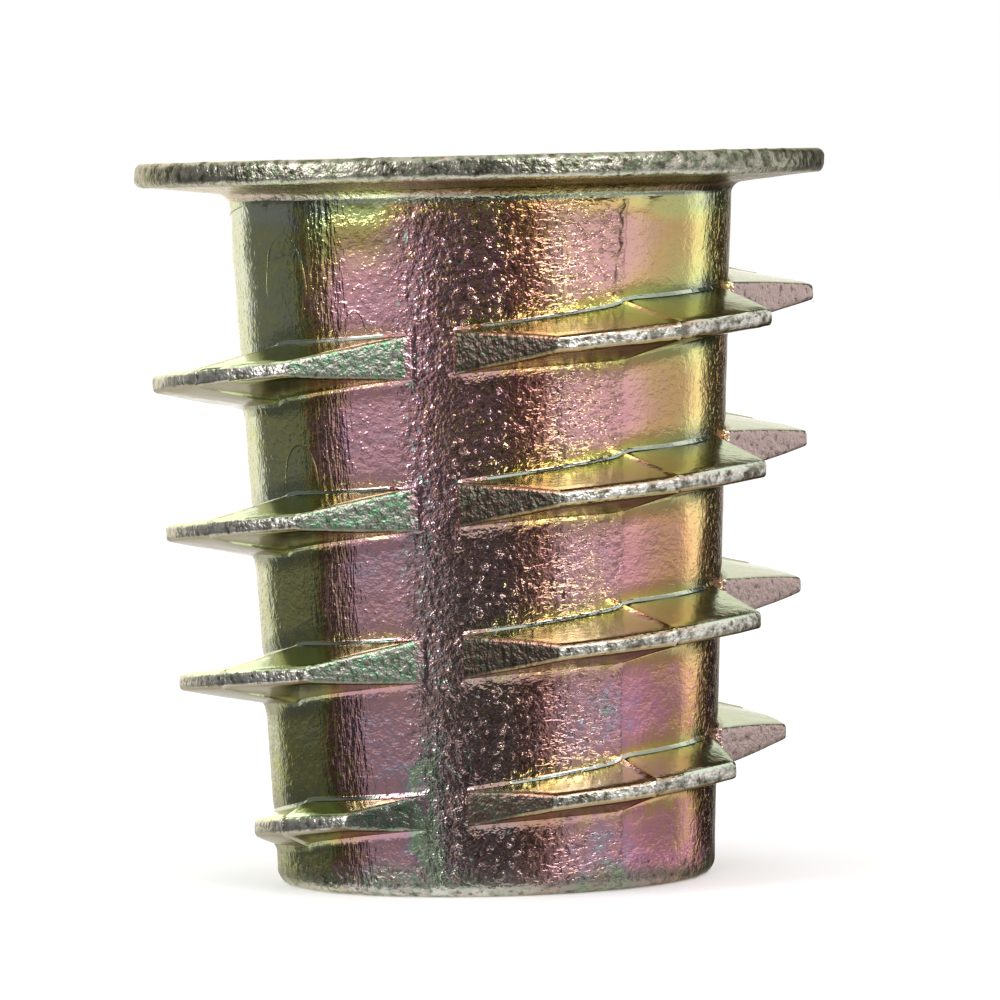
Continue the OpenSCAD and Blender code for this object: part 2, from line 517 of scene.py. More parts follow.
def feed(tree, target, source):
    # A socket takes another node's output, or a plain number or colour
    if isinstance(source, bpy.types.NodeSocket):
        tree.links.new(source, target)
    else:
        target.default_value = source


def maths(tree, operation, a, b=0.5, place=(0, 0), clamp=False):
    made = node(tree, "ShaderNodeMath", place, operation=operation, use_clamp=clamp)
    feed(tree, made.inputs[0], a)
    feed(tree, made.inputs[1], b)
    return made.outputs[0]


def times(tree, a, b, place=(0, 0)):
    return maths(tree, "MULTIPLY", a, b, place)


def plus(tree, a, b, place=(0, 0), clamp=False):
    return maths(tree, "ADD", a, b, place, clamp)


def minus(tree, a, b, place=(0, 0), clamp=False):
    return maths(tree, "SUBTRACT", a, b, place, clamp)


def larger(tree, a, b, place=(0, 0)):
    return maths(tree, "MAXIMUM", a, b, place)


def swung(tree, noise, reach):
    # A noise moved to either side of nought, by half of the reach at most
    return times(tree, minus(tree, noise, 0.5), reach)


def remap(tree, value, fromLow, fromHigh, toLow=0.0, toHigh=1.0, place=(0, 0), soft=True):
    made = node(tree, "ShaderNodeMapRange", place, interpolation_type="SMOOTHSTEP" if soft else "LINEAR")
    feed(tree, made.inputs["Value"], value)
    setInputs(made, {"From Min": fromLow, "From Max": fromHigh, "To Min": toLow, "To Max": toHigh})
    return made.outputs["Result"]


def blendColours(tree, factor, a, b, place=(0, 0), kind="MIX"):
    made = node(tree, "ShaderNodeMix", place, data_type="RGBA", blend_type=kind)
    feed(tree, made.inputs["Factor"], factor)
    feed(tree, made.inputs["A"], a)
    feed(tree, made.inputs["B"], b)
    return made.outputs["Result"]


def noiseOf(tree, coordinates, scale, detail=3.0, rough=0.5, place=(0, 0)):
    made = node(tree, "ShaderNodeTexNoise", place)
    feed(tree, made.inputs["Vector"], coordinates)
    setInputs(made, {"Scale": scale, "Detail": detail, "Roughness": rough})
    return made.outputs["Fac"]


def stretched(tree, coordinates, scale, place=(0, 0), turn=(0, 0, 0)):
    made = node(tree, "ShaderNodeMapping", place)
    feed(tree, made.inputs["Vector"], coordinates)
    setInputs(made, {"Scale": scale, "Rotation": turn})
    return made.outputs["Vector"]


def rampOf(tree, value, stops, place=(0, 0), kind="LINEAR"):
    made = node(tree, "ShaderNodeValToRGB", place)
    made.color_ramp.interpolation = kind
    elements = made.color_ramp.elements
    while len(elements) < len(stops):
        elements.new(0.5)
    for element, (at, colour) in zip(elements, stops):
        element.position = at
        element.color = (*colour, 1)
    feed(tree, made.inputs["Fac"], value)
    return made.outputs["Color"]


def newGroup(name, inputs, outputs):
    group = bpy.data.node_groups.new(name, "ShaderNodeTree")
    for label, kind in inputs:
        group.interface.new_socket(name=label, in_out="INPUT", socket_type=kind)
    for label, kind in outputs:
        group.interface.new_socket(name=label, in_out="OUTPUT", socket_type=kind)
    source = node(group, "NodeGroupInput", (-1200, 0))
    sink = node(group, "NodeGroupOutput", (1200, 0))
    return group, source.outputs, sink.inputs


def useGroup(tree, group, place, **values):
    made = node(tree, "ShaderNodeGroup", place, node_tree=group)
    for label, value in values.items():
        feed(tree, made.inputs[label], value)
    return made.outputs


number, vector, colour = "NodeSocketFloat", "NodeSocketVector", "NodeSocketColor"

filmStops = [                       # the film's colour from thin to thick
    (0.00, (0.60, 0.65, 0.54)),     # pale green
    (0.12, (0.57, 0.61, 0.37)),     # olive
    (0.24, (0.70, 0.72, 0.31)),     # yellow green
    (0.36, (0.76, 0.66, 0.27)),     # yellow
    (0.48, (0.79, 0.53, 0.24)),     # gold
    (0.60, (0.77, 0.46, 0.37)),     # salmon
    (0.72, (0.76, 0.40, 0.42)),     # pink
    (0.84, (0.66, 0.37, 0.46)),     # mauve
    (0.93, (0.52, 0.42, 0.52)),     # lilac
    (1.00, (0.44, 0.60, 0.41)),     # green again
]


def makeFilmGroup():
    group, given, out = newGroup("chromateFilm", [("Thickness", number)], [("Color", colour)])
    feed(group, out["Color"], rampOf(group, given["Thickness"], filmStops, (0, 0)))
    return group


def makeSkinGroup():
    # The die casting's skin, as one height in thousandths of a millimetre: grain, beads on the grain's peaks,
    # streaks that run up and down, and flat dents. Pits is a mask of the low places, where dirt stays
    group, given, out = newGroup("castSkin", [("Coordinates", vector), ("Grain", number), ("Beads", number),
                                              ("Streaks", number), ("Dents", number)],
                                 [("Height", number), ("Pits", number)])
    at = given["Coordinates"]
    grain = noiseOf(group, at, 4.8, 2.0, 0.62, (-1000, 300))
    bead = times(group, remap(group, grain, 0.56, 0.76, place=(-800, 0)), 0.27, (-50, 0))
    upright = stretched(group, at, (6.5, 6.5, 1.3), (-1200, -300))
    streak = noiseOf(group, upright, 1.0, 2.0, 0.6, (-1000, -300))
    flow = stretched(group, at, (3.2, 3.2, 8.0), (-1200, -500), (math.radians(12), math.radians(-9), 0))
    dent = noiseOf(group, flow, 1.0, 2.0, 0.55, (-1000, -500))
    dent = remap(group, dent, 0.52, 0.34, place=(-800, -500))
    height = plus(group, times(group, grain, given["Grain"], (0, 200)),
                  times(group, bead, given["Beads"], (100, 0)), (300, 100))
    height = plus(group, height, times(group, streak, given["Streaks"], (200, -200)), (500, 0))
    height = minus(group, height, times(group, dent, given["Dents"], (400, -300)), (700, 0))
    feed(group, out["Height"], height)
    deep = times(group, dent, remap(group, given["Dents"], 0.0, 10.0, 0.0, 0.7, (300, 600)), (500, 600))
    low = times(group, remap(group, grain, 0.45, 0.30, place=(300, 400)),
                remap(group, given["Grain"], 8.0, 34.0, place=(300, 800)), (500, 400))
    feed(group, out["Pits"], larger(group, deep, low, (700, 500)))
    return group


filmGroup = makeFilmGroup()
skinGroup = makeSkinGroup()


def startMaterial(name):
    made = bpy.data.materials.new(name)
    made.use_nodes = True
    tree = made.node_tree
    shader = tree.nodes["Principled BSDF"]
    shader.location = (1800, 0)
    tree.nodes["Material Output"].location = (2100, 0)
    shader.inputs["Metallic"].default_value = 1.0
    return made, tree, shader


def noteOf(tree, name, place):
    return node(tree, "ShaderNodeAttribute", place, attribute_name=name).outputs["Fac"]


outsideFinish = {
    "facing": -78.9,           # where the film and sheen curve's zero looks to, in degrees from +X: the side that faces the camera
    "filmAndSheenCurve": [             # degrees from there, and how thick the film is, partly painted iridescent sheen
        (-180, 0.66), (-150, 0.5), (-120, 0.15), (-90, 0.02), (-72, 0.05), (-62, 0.13),
        (-50, 0.16), (-44, 0.52), (-37, 0.62), (-32, 0.78), (-18, 0.78), (-8, 0.68),
        (12, 0.64), (30, 0.69), (37, 0.63), (42, 0.56), (50, 0.49), (54, 0.46), (59, 0.39),
        (66, 0.36), (74, 0.44), (90, 0.45), (112, 0.2), (140, 0.5), (180, 0.66)],
    "roughness": 0.15,
    "coarseRoughness": 0.17,   # added on crests, rim and ramps
    "mottleRoughness": 0.12,
    # reliefs in thousandths of a millimetre: everywhere, and added in their own zones
    "grain": (8.0, 40.0),
    "beads": (5.0, 30.0),
    "streaks": (2.5, 30.0),
    "dents": (0.16, 11.0),     # share that is everywhere, and the full depth
    "ringRelief": 8.0,
    "cracks": [                # degrees from the facing direction at top and foot, heights, width, depth
        (33.8, 31.0, 18.75, 16.1, 0.75, 0.95),
        (34.6, 34.0, 18.75, 16.6, 0.5, 0.45),
        (-47.0, -46.0, 18.4, 15.2, 0.5, 0.5),
        (33.9, 33.9, 10.2, 8.6, 0.4, 0.3),
        (33.9, 33.9, 6.0, 0.8, 0.45, 0.5),
    ],
    "flowRings": [             # degrees from the facing direction, height, half width, half height
        (-51.4, 16.4, 7.2, 1.6),
        (-30.5, 15.4, 2.6, 0.5),
        (-50.0, 11.2, 6.0, 1.1),
    ],
    "edgeTint": (0.56, 0.52, 0.42, 1),
}


outsideColours = {
    # one colour, or the two that a blotch, a speck or a side blends between
    "crest": ((0.28, 0.27, 0.22, 1), (0.98, 0.94, 0.85, 1)),
    # painted highlight: crests paler on the left
    "crestHighlightLeft": (0.92, 0.90, 0.82, 1),
    "gold": ((0.82, 1.0, 0.66, 1), (0.70, 0.96, 0.56, 1)),         # upper flanks
    "goldRight": (0.76, 0.92, 0.74, 1),
    "lowerFlankShade": ((0.13, 0.06, 0.02, 1), (0.12, 0.07, 0.03, 1)),       # lower flanks, dark as painted shade
    # painted light: lower flanks paler on the left
    "lowerFlankLitLeft": (0.60, 0.57, 0.46, 1),
    "green": ((0.32, 0.34, 0.28, 1), (0.18, 0.34, 0.20, 1)),       # ramps that fall to a notch
    "risingRampShade": ((0.15, 0.11, 0.09, 1), (0.13, 0.14, 0.10, 1)),      # ramps that rise from a notch, dark as painted shade
    "maroonFar": (0.66, 0.50, 0.47, 1),
    "edges": ((0.80, 0.62, 0.34, 1), (0.70, 0.36, 0.24, 1)),       # lower and upper edge of the crest
    # partly a painted highlight along the root strip
    "root": (0.48, 0.57, 0.49, 1),
    # painted highlight along the split line
    "split": (0.95, 0.86, 0.52, 1),
    "rim": ((0.17, 0.175, 0.125, 1), (0.61, 0.56, 0.47, 1)),
    # painted highlight on the rim's lower edge
    "rimLowerHighlight": (0.80, 0.76, 0.64, 1),
    "rimGreen": (0.30, 0.42, 0.22, 1),
    "under": ((1.0, 0.86, 0.74, 1), (0.32, 0.22, 0.14, 1)),        # the flange's underside: painted reflection, bright, on the left and painted shade, dark brown, on the right
    # partly a painted highlight: the pale green line on the flange's fillet
    "fillet": (0.60, 0.66, 0.46, 1),
    "tip": ((0.50, 0.49, 0.39, 1), (0.28, 0.48, 0.29, 1)),
    # painted highlight on the bottom edge's left, and painted shade on its right
    "tipHighlight": (0.95, 0.93, 0.84, 1),
    "tipPaintedShade": (0.20, 0.21, 0.12, 1),
    # painted glints: pale flecks round the notches
    "notchGlint": (0.84, 0.90, 0.72, 1),
    "dirt": (0.08, 0.055, 0.03, 1),
    # multiplied with the film's colour
    "rightHigh": (1.14, 0.96, 1.08, 1),
    "besideNotch": (1.0, 0.80, 0.68, 1),
    # painted shade under the flange on the left, with a yellow-green cast
    "underFlangeShadeTint": (0.68, 0.75, 0.67, 1),
    "worn": (0.40, 0.38, 0.31, 1),                                 # blended in low in the notches
}


def lineOn(tree, turn, z, uneven, top, foot, highZ, lowZ, width, strength):
    # A mask for an uneven line up the body: degrees at top and foot, their heights, half width in degrees,
    # strength
    path = remap(tree, z, lowZ, highZ, math.radians(foot), math.radians(top), soft=False)
    away = maths(tree, "ABSOLUTE", minus(tree, turn, path), 0)
    line = times(tree, remap(tree, away, math.radians(width), 0.0, 0.0, strength),
                 remap(tree, uneven, 0.35, 0.55, 0.25, 1.0))
    between = times(tree, maths(tree, "GREATER_THAN", z, lowZ), maths(tree, "LESS_THAN", z, highZ))
    return times(tree, line, between)


def makeOutside(f, k):
    made, tree, shader = startMaterial("chromatedCasting")
    place = node(tree, "ShaderNodeTexCoord", (-2600, 0)).outputs["Object"]
    at = stretched(tree, place, (1000, 1000, 1000), (-2400, 0))                    # in millimetres
    split = node(tree, "ShaderNodeSeparateXYZ", (-2200, -300))
    feed(tree, split.inputs[0], at)
    x, y, z = split.outputs
    drift = noiseOf(tree, at, 0.42, 2.0, 0.55, (-1800, 300))
    mottle = noiseOf(tree, at, 2.2, 3.0, 0.6, (-1800, 100))
    aimed = node(tree, "ShaderNodeSeparateXYZ", (-2000, -500))
    toFacing = (0, 0, math.radians(-f["facing"]))
    feed(tree, aimed.inputs[0], stretched(tree, at, (1, 1, 1), (-2200, -500), toFacing))
    turn = maths(tree, "ARCTAN2", aimed.outputs[1], aimed.outputs[0], (-1800, -500))
    side = remap(tree, turn, -math.pi, math.pi, place=(-1600, -500), soft=False)
    side = plus(tree, side, swung(tree, mottle, 0.035), (-1400, -500))
    curve = node(tree, "ShaderNodeFloatCurve", (-1200, -500))
    points = curve.mapping.curves[0].points
    while len(points) < len(f["filmAndSheenCurve"]):
        points.new(0.5, 0.5)
    for point, (a, t) in zip(points, f["filmAndSheenCurve"]):
        point.location = ((a + 180) / 360, t)
        point.handle_type = "AUTO_CLAMPED"
    curve.mapping.update()
    feed(tree, curve.inputs["Value"], side)

    rise = noteOf(tree, "rise", (-2600, -900))
    flank = noteOf(tree, "flank", (-2600, -1100))
    ramp = noteOf(tree, "ramp", (-2600, -1300))
    near = noteOf(tree, "near", (-2600, -1500))
    overThread = larger(tree, near, 0, (-2300, -1500))
    underThread = larger(tree, times(tree, near, -1, (-2300, -1600)), 0, (-2200, -1600))
    wavyZ = plus(tree, z, swung(tree, drift, 1.6))
    nearFlange = remap(tree, wavyZ, 18.0, 18.75, place=(-2000, -1700))
    underFlangeLeft = times(tree, remap(tree, wavyZ, 16.3, 18.5), remap(tree, turn, -0.26, -0.46, 0.0, 0.34))
    underFlangeLeft = times(tree, underFlangeLeft, remap(tree, turn, -0.86, -0.68))
    rightward = remap(tree, turn, math.radians(8), math.radians(34), 0.3, 1.0, (-1600, -1600))
    nearTip = remap(tree, z, 1.5, 0.1, place=(-2000, -1900))

    # place in a slide's field, from 0 to 1 with the notch at a half: grained at the notch and to its right,
    # dented further right, streaked at the left; the slide that faces the camera is the roughest
    off = maths(tree, "PINGPONG", maths(tree, "ARCTAN2", y, x, (-1800, -800)), math.pi / 4, (-1600, -800))
    inSlide = times(tree, maths(tree, "ARCTAN2", y, x, (-1800, -900)), 2 / math.pi, (-1700, -900))
    inSlide = maths(tree, "FRACT", plus(tree, inSlide, 0.5), 0)
    byNotch = times(tree, remap(tree, inSlide, 0.32, 0.48, place=(-1200, -800)),
                    remap(tree, inSlide, 0.86, 0.64, place=(-1200, -850)), (-1000, -800))
    frontSlide = times(tree, remap(tree, turn, -0.76, -0.74, 0.5, 1.0), remap(tree, turn, 0.60, 0.58))
    byNotch = larger(tree, byNotch, times(tree, frontSlide, 0.26))
    byDents = times(tree, remap(tree, inSlide, 0.70, 0.84, place=(-1200, -1100)),
                    times(tree, remap(tree, turn, -0.76, -0.74), frontSlide), (-1000, -1100))
    byStreaks = times(tree, remap(tree, inSlide, 0.06, 0.12, place=(-1200, -900)),
                      remap(tree, inSlide, 0.30, 0.24, place=(-1200, -1000)), (-1000, -900))
    byStreaks = times(tree, frontSlide, byStreaks)

    # film thickness over the body: partly the film's own patches, partly painted iridescent sheen, pink on
    # the side that faces the camera, green to its left and gold to its right
    film = plus(tree, curve.outputs[0], swung(tree, drift, 0.30),
                (-900, 200))
    film = plus(tree, film, swung(tree, mottle, 0.20), (-700, 200))
    flecks = noiseOf(tree, at, 6.5, 1.0, 0.5, (-1800, -100))
    fleckFilm = times(tree, minus(tree, flecks, 0.5), times(tree, byNotch, 0.8))
    film = plus(tree, film, fleckFilm, (-600, 200))
    lowPatches = times(tree, remap(tree, z, 10.0, 3.5, 0.0, 0.6), rightward)
    lowPatches = times(tree, minus(tree, mottle, 0.5), lowPatches)
    film = plus(tree, film, lowPatches, (-550, 200))
    thinning = plus(tree, remap(tree, turn, -0.34, -0.06, 0.22, 0.14, (-1600, -1700)),
                    remap(tree, turn, 0.3, 0.5, 0.0, 0.10, (-1600, -1800)))
    film = minus(tree, film, times(tree, nearFlange, thinning), (-500, 200))
    film = minus(tree, film, underFlangeLeft, (-480, 200))
    greenPatch = times(tree, remap(tree, z, 8.0, 3.0),
                       remap(tree, maths(tree, "ABSOLUTE", plus(tree, turn, 0.31), 0), 0.12, 0.02, 0.0, 0.3))
    greenPatch = times(tree, greenPatch, remap(tree, drift, 0.38, 0.52))
    film = plus(tree, film, greenPatch, (-460, 200))
    overRoot = times(tree, overThread, times(tree, rightward, 0.36))
    film = minus(tree, film, overRoot, (-400, 200))
    underRoot = times(tree, underThread, times(tree, rightward, 0.28))
    film = minus(tree, film, underRoot, (-300, 200))
    film = plus(tree, film, remap(tree, z, 16.5, 14.5, -0.02, 0.03), (-280, 200))
    lowRight = times(tree, remap(tree, z, 11.0, 4.0), times(tree, rightward, 0.14))
    film = plus(tree, film, lowRight, (-250, 200))
    film = plus(tree, film, times(tree, nearTip, 0.10), (-200, 200), True)
    bodyColour = useGroup(tree, filmGroup, (-100, 200), Thickness=film)["Color"]
    deep = times(tree, remap(tree, z, 16.0, 9.0), remap(tree, turn, math.radians(25), math.radians(40)))
    bodyColour = blendColours(tree, deep, bodyColour, k["rightHigh"], (0, 200), "MULTIPLY")
    redBand = times(tree, remap(tree, turn, math.radians(2), math.radians(8)),
                    remap(tree, turn, math.radians(18), math.radians(12)))
    bodyColour = blendColours(tree, redBand, bodyColour, k["besideNotch"], (20, 200), "MULTIPLY")
    # painted shade: darker just under the flange on the left, with a yellow-green cast
    underFlangeShade = times(tree, remap(tree, wavyZ, 17.0, 18.0),
                       times(tree, remap(tree, turn, -0.22, -0.36), remap(tree, turn, -0.80, -0.66)))
    bodyColour = blendColours(tree, underFlangeShade, bodyColour, k["underFlangeShadeTint"], (30, 200), "MULTIPLY")
    greyed = times(tree, remap(tree, z, 14.0, 7.0), times(tree, byNotch, 0.5))
    bodyColour = blendColours(tree, greyed, bodyColour, k["worn"], (50, 200))

    # the skin is grained round each notch, dented between them, and coarse on the thread and rim
    upper = remap(tree, flank, 0.1, 0.6, place=(-1000, -1300))
    lower = remap(tree, flank, -0.1, -0.6, place=(-1000, -1500))
    falling = remap(tree, ramp, -0.1, -0.7, place=(-1000, -1700))
    rising = remap(tree, ramp, 0.1, 0.7, place=(-1000, -1900))
    onRamp = larger(tree, falling, rising, (-800, -1800))
    radius = maths(tree, "SQRT", plus(tree, times(tree, x, x), times(tree, y, y)),
                   0, (-1600, -2400))
    isRim = times(tree, remap(tree, radius, 8.9, 9.3, place=(-1300, -2400)),
                  remap(tree, z, 18.9, 19.3, place=(-1300, -2600)), (-1000, -2500))
    onThread = remap(tree, rise, 0.02, 0.22, place=(-1000, -1100))
    onFlank = larger(tree, upper, lower, (-800, -1400))
    onCrest = minus(tree, onThread, onFlank, (-700, -1500), True)
    isUnder = times(tree, remap(tree, radius, 6.95, 7.0, place=(-1300, -2800)),
                    times(tree, remap(tree, z, 18.88, 18.95), remap(tree, z, 19.8, 19.7)), (-1000, -2900))
    coarse = larger(tree, onCrest, larger(tree, isRim, times(tree, isUnder, 0.7)),
                    (-700, -1900))
    coarse = larger(tree, coarse, onRamp, (-600, -1900))
    coarse = larger(tree, coarse, nearTip, (-500, -1900))
    atRoot = times(tree, times(tree, remap(tree, near, 0.86, 0.95, place=(-1000, -1400)),
                               remap(tree, rise, 0.004, 0.02)),
                   remap(tree, rise, 0.13, 0.07, place=(-800, -1400)), (-600, -1400))
    notCoarse = larger(tree, larger(tree, onThread, isRim), atRoot)
    notCoarse = minus(tree, 1.0, notCoarse, (-1100, -1000))
    grains = larger(tree, coarse, times(tree, byNotch, notCoarse), (-1100, -900))
    grain, beads, streaks, dents = (f[word] for word in ("grain", "beads", "streaks", "dents"))
    skin = useGroup(tree, skinGroup, (-900, -900), Coordinates=at,
                    Grain=plus(tree, times(tree, grains, grain[1]), grain[0], (-1000, -900)),
                    Beads=plus(tree, times(tree, times(tree, byNotch, notCoarse), beads[1]), beads[0],
                               (-1100, -1000)),
                    Streaks=plus(tree, times(tree, times(tree, byStreaks, notCoarse), streaks[1]),
                                 streaks[0]),
                    Dents=times(tree, times(tree, notCoarse, plus(tree, byDents, dents[0])), dents[1]))

    # the thread: gold upper flanks, lower flanks dark brown as painted shade and paler on the left as painted
    # light, silvery crests with a painted highlight on the left, green ramps that fall, and ramps that rise
    # dark maroon as painted shade
    speck = remap(tree, noiseOf(tree, at, 5.0, 2.0, 0.6, (-1300, -2100)), 0.5, 0.62, place=(-1000, -2100))
    blotch = remap(tree, noiseOf(tree, at, 2.4, 3.0, 0.7, (-1300, -2300)), 0.38, 0.62, place=(-1000, -2300))
    crestColour = blendColours(tree, blotch, *k["crest"], (-700, -1100))
    # painted light on the left side: a highlight on the crests and paler lower flanks
    paintedLightLeft = remap(tree, turn, -0.55, -0.9, place=(-900, -1000))
    crestColour = blendColours(tree, times(tree, paintedLightLeft, 0.6), crestColour, k["crestHighlightLeft"], (-500, -1100))
    flankGold = blendColours(tree, mottle, *k["gold"], (-700, -1300))
    flankGold = blendColours(tree, remap(tree, turn, 0.45, 0.75), flankGold, k["goldRight"], (-500, -1300))
    # painted shade: the lower flanks dark brown, and painted light: paler on the left
    lowerFlankShaded = blendColours(tree, mottle, *k["lowerFlankShade"], (-700, -1500))
    lowerFlankShaded = blendColours(tree, paintedLightLeft, lowerFlankShaded, k["lowerFlankLitLeft"], (-500, -1500))
    rampGreen = blendColours(tree, speck, *k["green"], (-700, -1700))
    # painted shade: ramps that rise from a notch are dark maroon, paler further to the right
    risingRampShaded = blendColours(tree, speck, *k["risingRampShade"], (-700, -1900))
    risingRampShaded = blendColours(tree, remap(tree, turn, 0.6, 1.0, place=(-900, -2000)), risingRampShaded,
                              k["maroonFar"], (-500, -1900))
    thread = blendColours(tree, upper, crestColour, flankGold, (-400, -1200))
    thread = blendColours(tree, lower, thread, lowerFlankShaded, (-200, -1300))
    thread = blendColours(tree, falling, thread, rampGreen, (0, -1400))
    thread = blendColours(tree, rising, thread, risingRampShaded, (200, -1500))
    # the thread's upper edge is salmon, its lower edge gold, and its root above pale and bluish, partly a
    # painted highlight
    atEdge = times(tree, remap(tree, rise, 0.5, 0.9, place=(-1000, -1200)),
                   remap(tree, maths(tree, "ABSOLUTE", minus(tree, maths(tree, "ABSOLUTE", flank, 0), 0.5)),
                         0.42, 0.30, place=(-800, -1200)), (-600, -1200))
    edgeColour = blendColours(tree, remap(tree, flank, -0.2, 0.2), *k["edges"])
    atEdge = times(tree, atEdge, times(tree, remap(tree, turn, -0.25, 0.1, 0.1, 0.55),
                                       remap(tree, turn, 0.75, 0.6, 0.2, 1.0)))
    thread = blendColours(tree, atEdge, thread, edgeColour, (300, -1500))
    colourNow = blendColours(tree, onThread, bodyColour, thread, (500, -200))
    # painted highlight, partly: the pale strip at the thread's root
    colourNow = blendColours(tree, times(tree, atRoot, 0.9), colourNow, k["root"], (550, -200))
    # painted highlight: a bright line where two slides part, on the upper flanks
    splitHighlight = times(tree, remap(tree, off, 0.774, 0.782), upper)
    colourNow = blendColours(tree, splitHighlight, colourNow, k["split"], (560, -200))

    # the flange: grey with a green cast on its rim and a painted highlight on its lower edge, underneath
    # bright as painted reflection on the left and brown as painted shade on the right, and a pale green line,
    # partly painted highlight, where it meets the body
    rimColour = blendColours(tree, blotch, *k["rim"], (-700, -2500))
    # painted highlight along the rim's lower edge
    rimColour = blendColours(tree, remap(tree, z, 19.56, 19.42), rimColour, k["rimLowerHighlight"], (-600, -2600))
    rimColour = blendColours(tree, times(tree, speck, 0.4), rimColour, k["rimGreen"], (-500, -2500))
    # painted reflection on the underside's left and painted shade on its right
    underPaintedShade = remap(tree, aimed.outputs[1], -3.4, 0.4, place=(-1000, -3100))
    underLightAndShade = blendColours(tree, underPaintedShade, *k["under"], (-700, -2900))
    # painted highlight, partly: a pale green line where the flange meets the body
    filletHighlight = times(tree, remap(tree, z, 18.76, 18.82, place=(-1300, -3200)),
                     remap(tree, radius, 7.3, 7.1, place=(-1300, -3400)), (-1000, -3300))
    colourNow = blendColours(tree, filletHighlight, colourNow, k["fillet"], (600, -200))
    colourNow = blendColours(tree, isUnder, colourNow, underLightAndShade, (700, -200))
    colourNow = blendColours(tree, isRim, colourNow, rimColour, (900, -200))
    tipColour = blendColours(tree, speck, *k["tip"], (-700, -3500))
    # painted highlight along the bottom edge on the left
    tipHighlight = times(tree, remap(tree, turn, 0.3, -0.2, 0.1, 1.0), blotch)
    tipHighlight = times(tree, tipHighlight, remap(tree, z, 0.45, 0.2))
    tipColour = blendColours(tree, tipHighlight, tipColour, k["tipHighlight"], (-500, -3500))
    # painted shade: the bottom edge darker towards the right
    tipShade = remap(tree, turn, 0.05, 0.4, 0.0, 0.7)
    tipColour = blendColours(tree, tipShade, tipColour, k["tipPaintedShade"], (-400, -3500))
    atTip = times(tree, remap(tree, wavyZ, 0.9, 0.25), 0.75)
    colourNow = blendColours(tree, atTip, colourNow, tipColour, (1000, -200))
    # the flange's top is pale green, with patches of a thicker film
    topFilm = remap(tree, drift, 0.25, 0.80, 0.06, 0.50, (600, 600))
    topFilm = plus(tree, topFilm, times(tree, mottle, 0.10), (700, 600))
    topColour = useGroup(tree, filmGroup, (800, 600), Thickness=topFilm)["Color"]
    onTop = times(tree, remap(tree, z, 19.86, 19.93), remap(tree, radius, 9.45, 9.3))
    colourNow = blendColours(tree, onTop, colourNow, topColour, (1050, -200))
    inNotch = remap(tree, maths(tree, "ABSOLUTE", minus(tree, inSlide, 0.5)), 0.16, 0.08)
    inNotch = times(tree, times(tree, inNotch, notCoarse), 0.85)
    # painted glints: pale flecks round the notches
    paintedGlints = times(tree, remap(tree, flecks, 0.65, 0.71), inNotch, (1050, -400))
    colourNow = blendColours(tree, paintedGlints, colourNow, k["notchGlint"], (1070, -200))
    dirt = times(tree, skin["Pits"], 0.62, (900, -500))
    crackNoise = noiseOf(tree, at, 2.6, 2.0, 0.6, (300, 900))
    turnNow = plus(tree, turn, swung(tree, crackNoise, 0.06))
    for crack in f["cracks"]:
        dirt = larger(tree, dirt, lineOn(tree, turnNow, z, mottle, *crack))
    colourNow = blendColours(tree, dirt, colourNow, k["dirt"], (1100, -200))
    rings = 0.0
    for degrees, height, halfWidth, halfHeight in f["flowRings"]:
        across = maths(tree, "MULTIPLY_ADD", turn, 1 / math.radians(halfWidth))
        feed(tree, across.node.inputs[2], -degrees / halfWidth)
        along = maths(tree, "MULTIPLY_ADD", z, 1 / halfHeight)
        feed(tree, along.node.inputs[2], -height / halfHeight)
        reach = plus(tree, times(tree, across, across), times(tree, along, along))
        line = remap(tree, maths(tree, "ABSOLUTE", minus(tree, reach, 1.0), 0), 0.10 / halfHeight + 0.05, 0.0)
        rings = larger(tree, rings, times(tree, line, remap(tree, along, -0.3, 0.2)))
    feed(tree, shader.inputs["Base Color"], colourNow)
    shader.inputs["Specular Tint"].default_value = f["edgeTint"]

    smoothest = f["roughness"] - f["mottleRoughness"] / 2
    rough = plus(tree, times(tree, mottle, f["mottleRoughness"], (600, -700)), smoothest, (800, -700))
    rough = plus(tree, rough, times(tree, coarse, f["coarseRoughness"], (1100, -900)), (1200, -700))
    feed(tree, shader.inputs["Roughness"], rough)

    bump = node(tree, "ShaderNodeBump", (1500, -500))
    setInputs(bump, {"Strength": 1.0, "Distance": 0.000001})
    feed(tree, bump.inputs["Height"], plus(tree, skin["Height"], times(tree, rings, f["ringRelief"])))
    feed(tree, shader.inputs["Normal"], bump.outputs["Normal"])
    return made


insideFinish = {
    "socketFilm": 0.22,
    "boreFilm": 0.08,
    "roughness": 0.24,
    "toolMarks": 12.0,         # fine rings left by the tap in the bolt thread, for each millimetre
    "grain": 22.0,
    "mottleRoughness": 0.16,
    "rubbed": (0.34, 0.35, 0.28, 1),
    "dirt": (0.10, 0.08, 0.05, 1),
    "edgeTint": (0.70, 0.66, 0.56, 1),
}


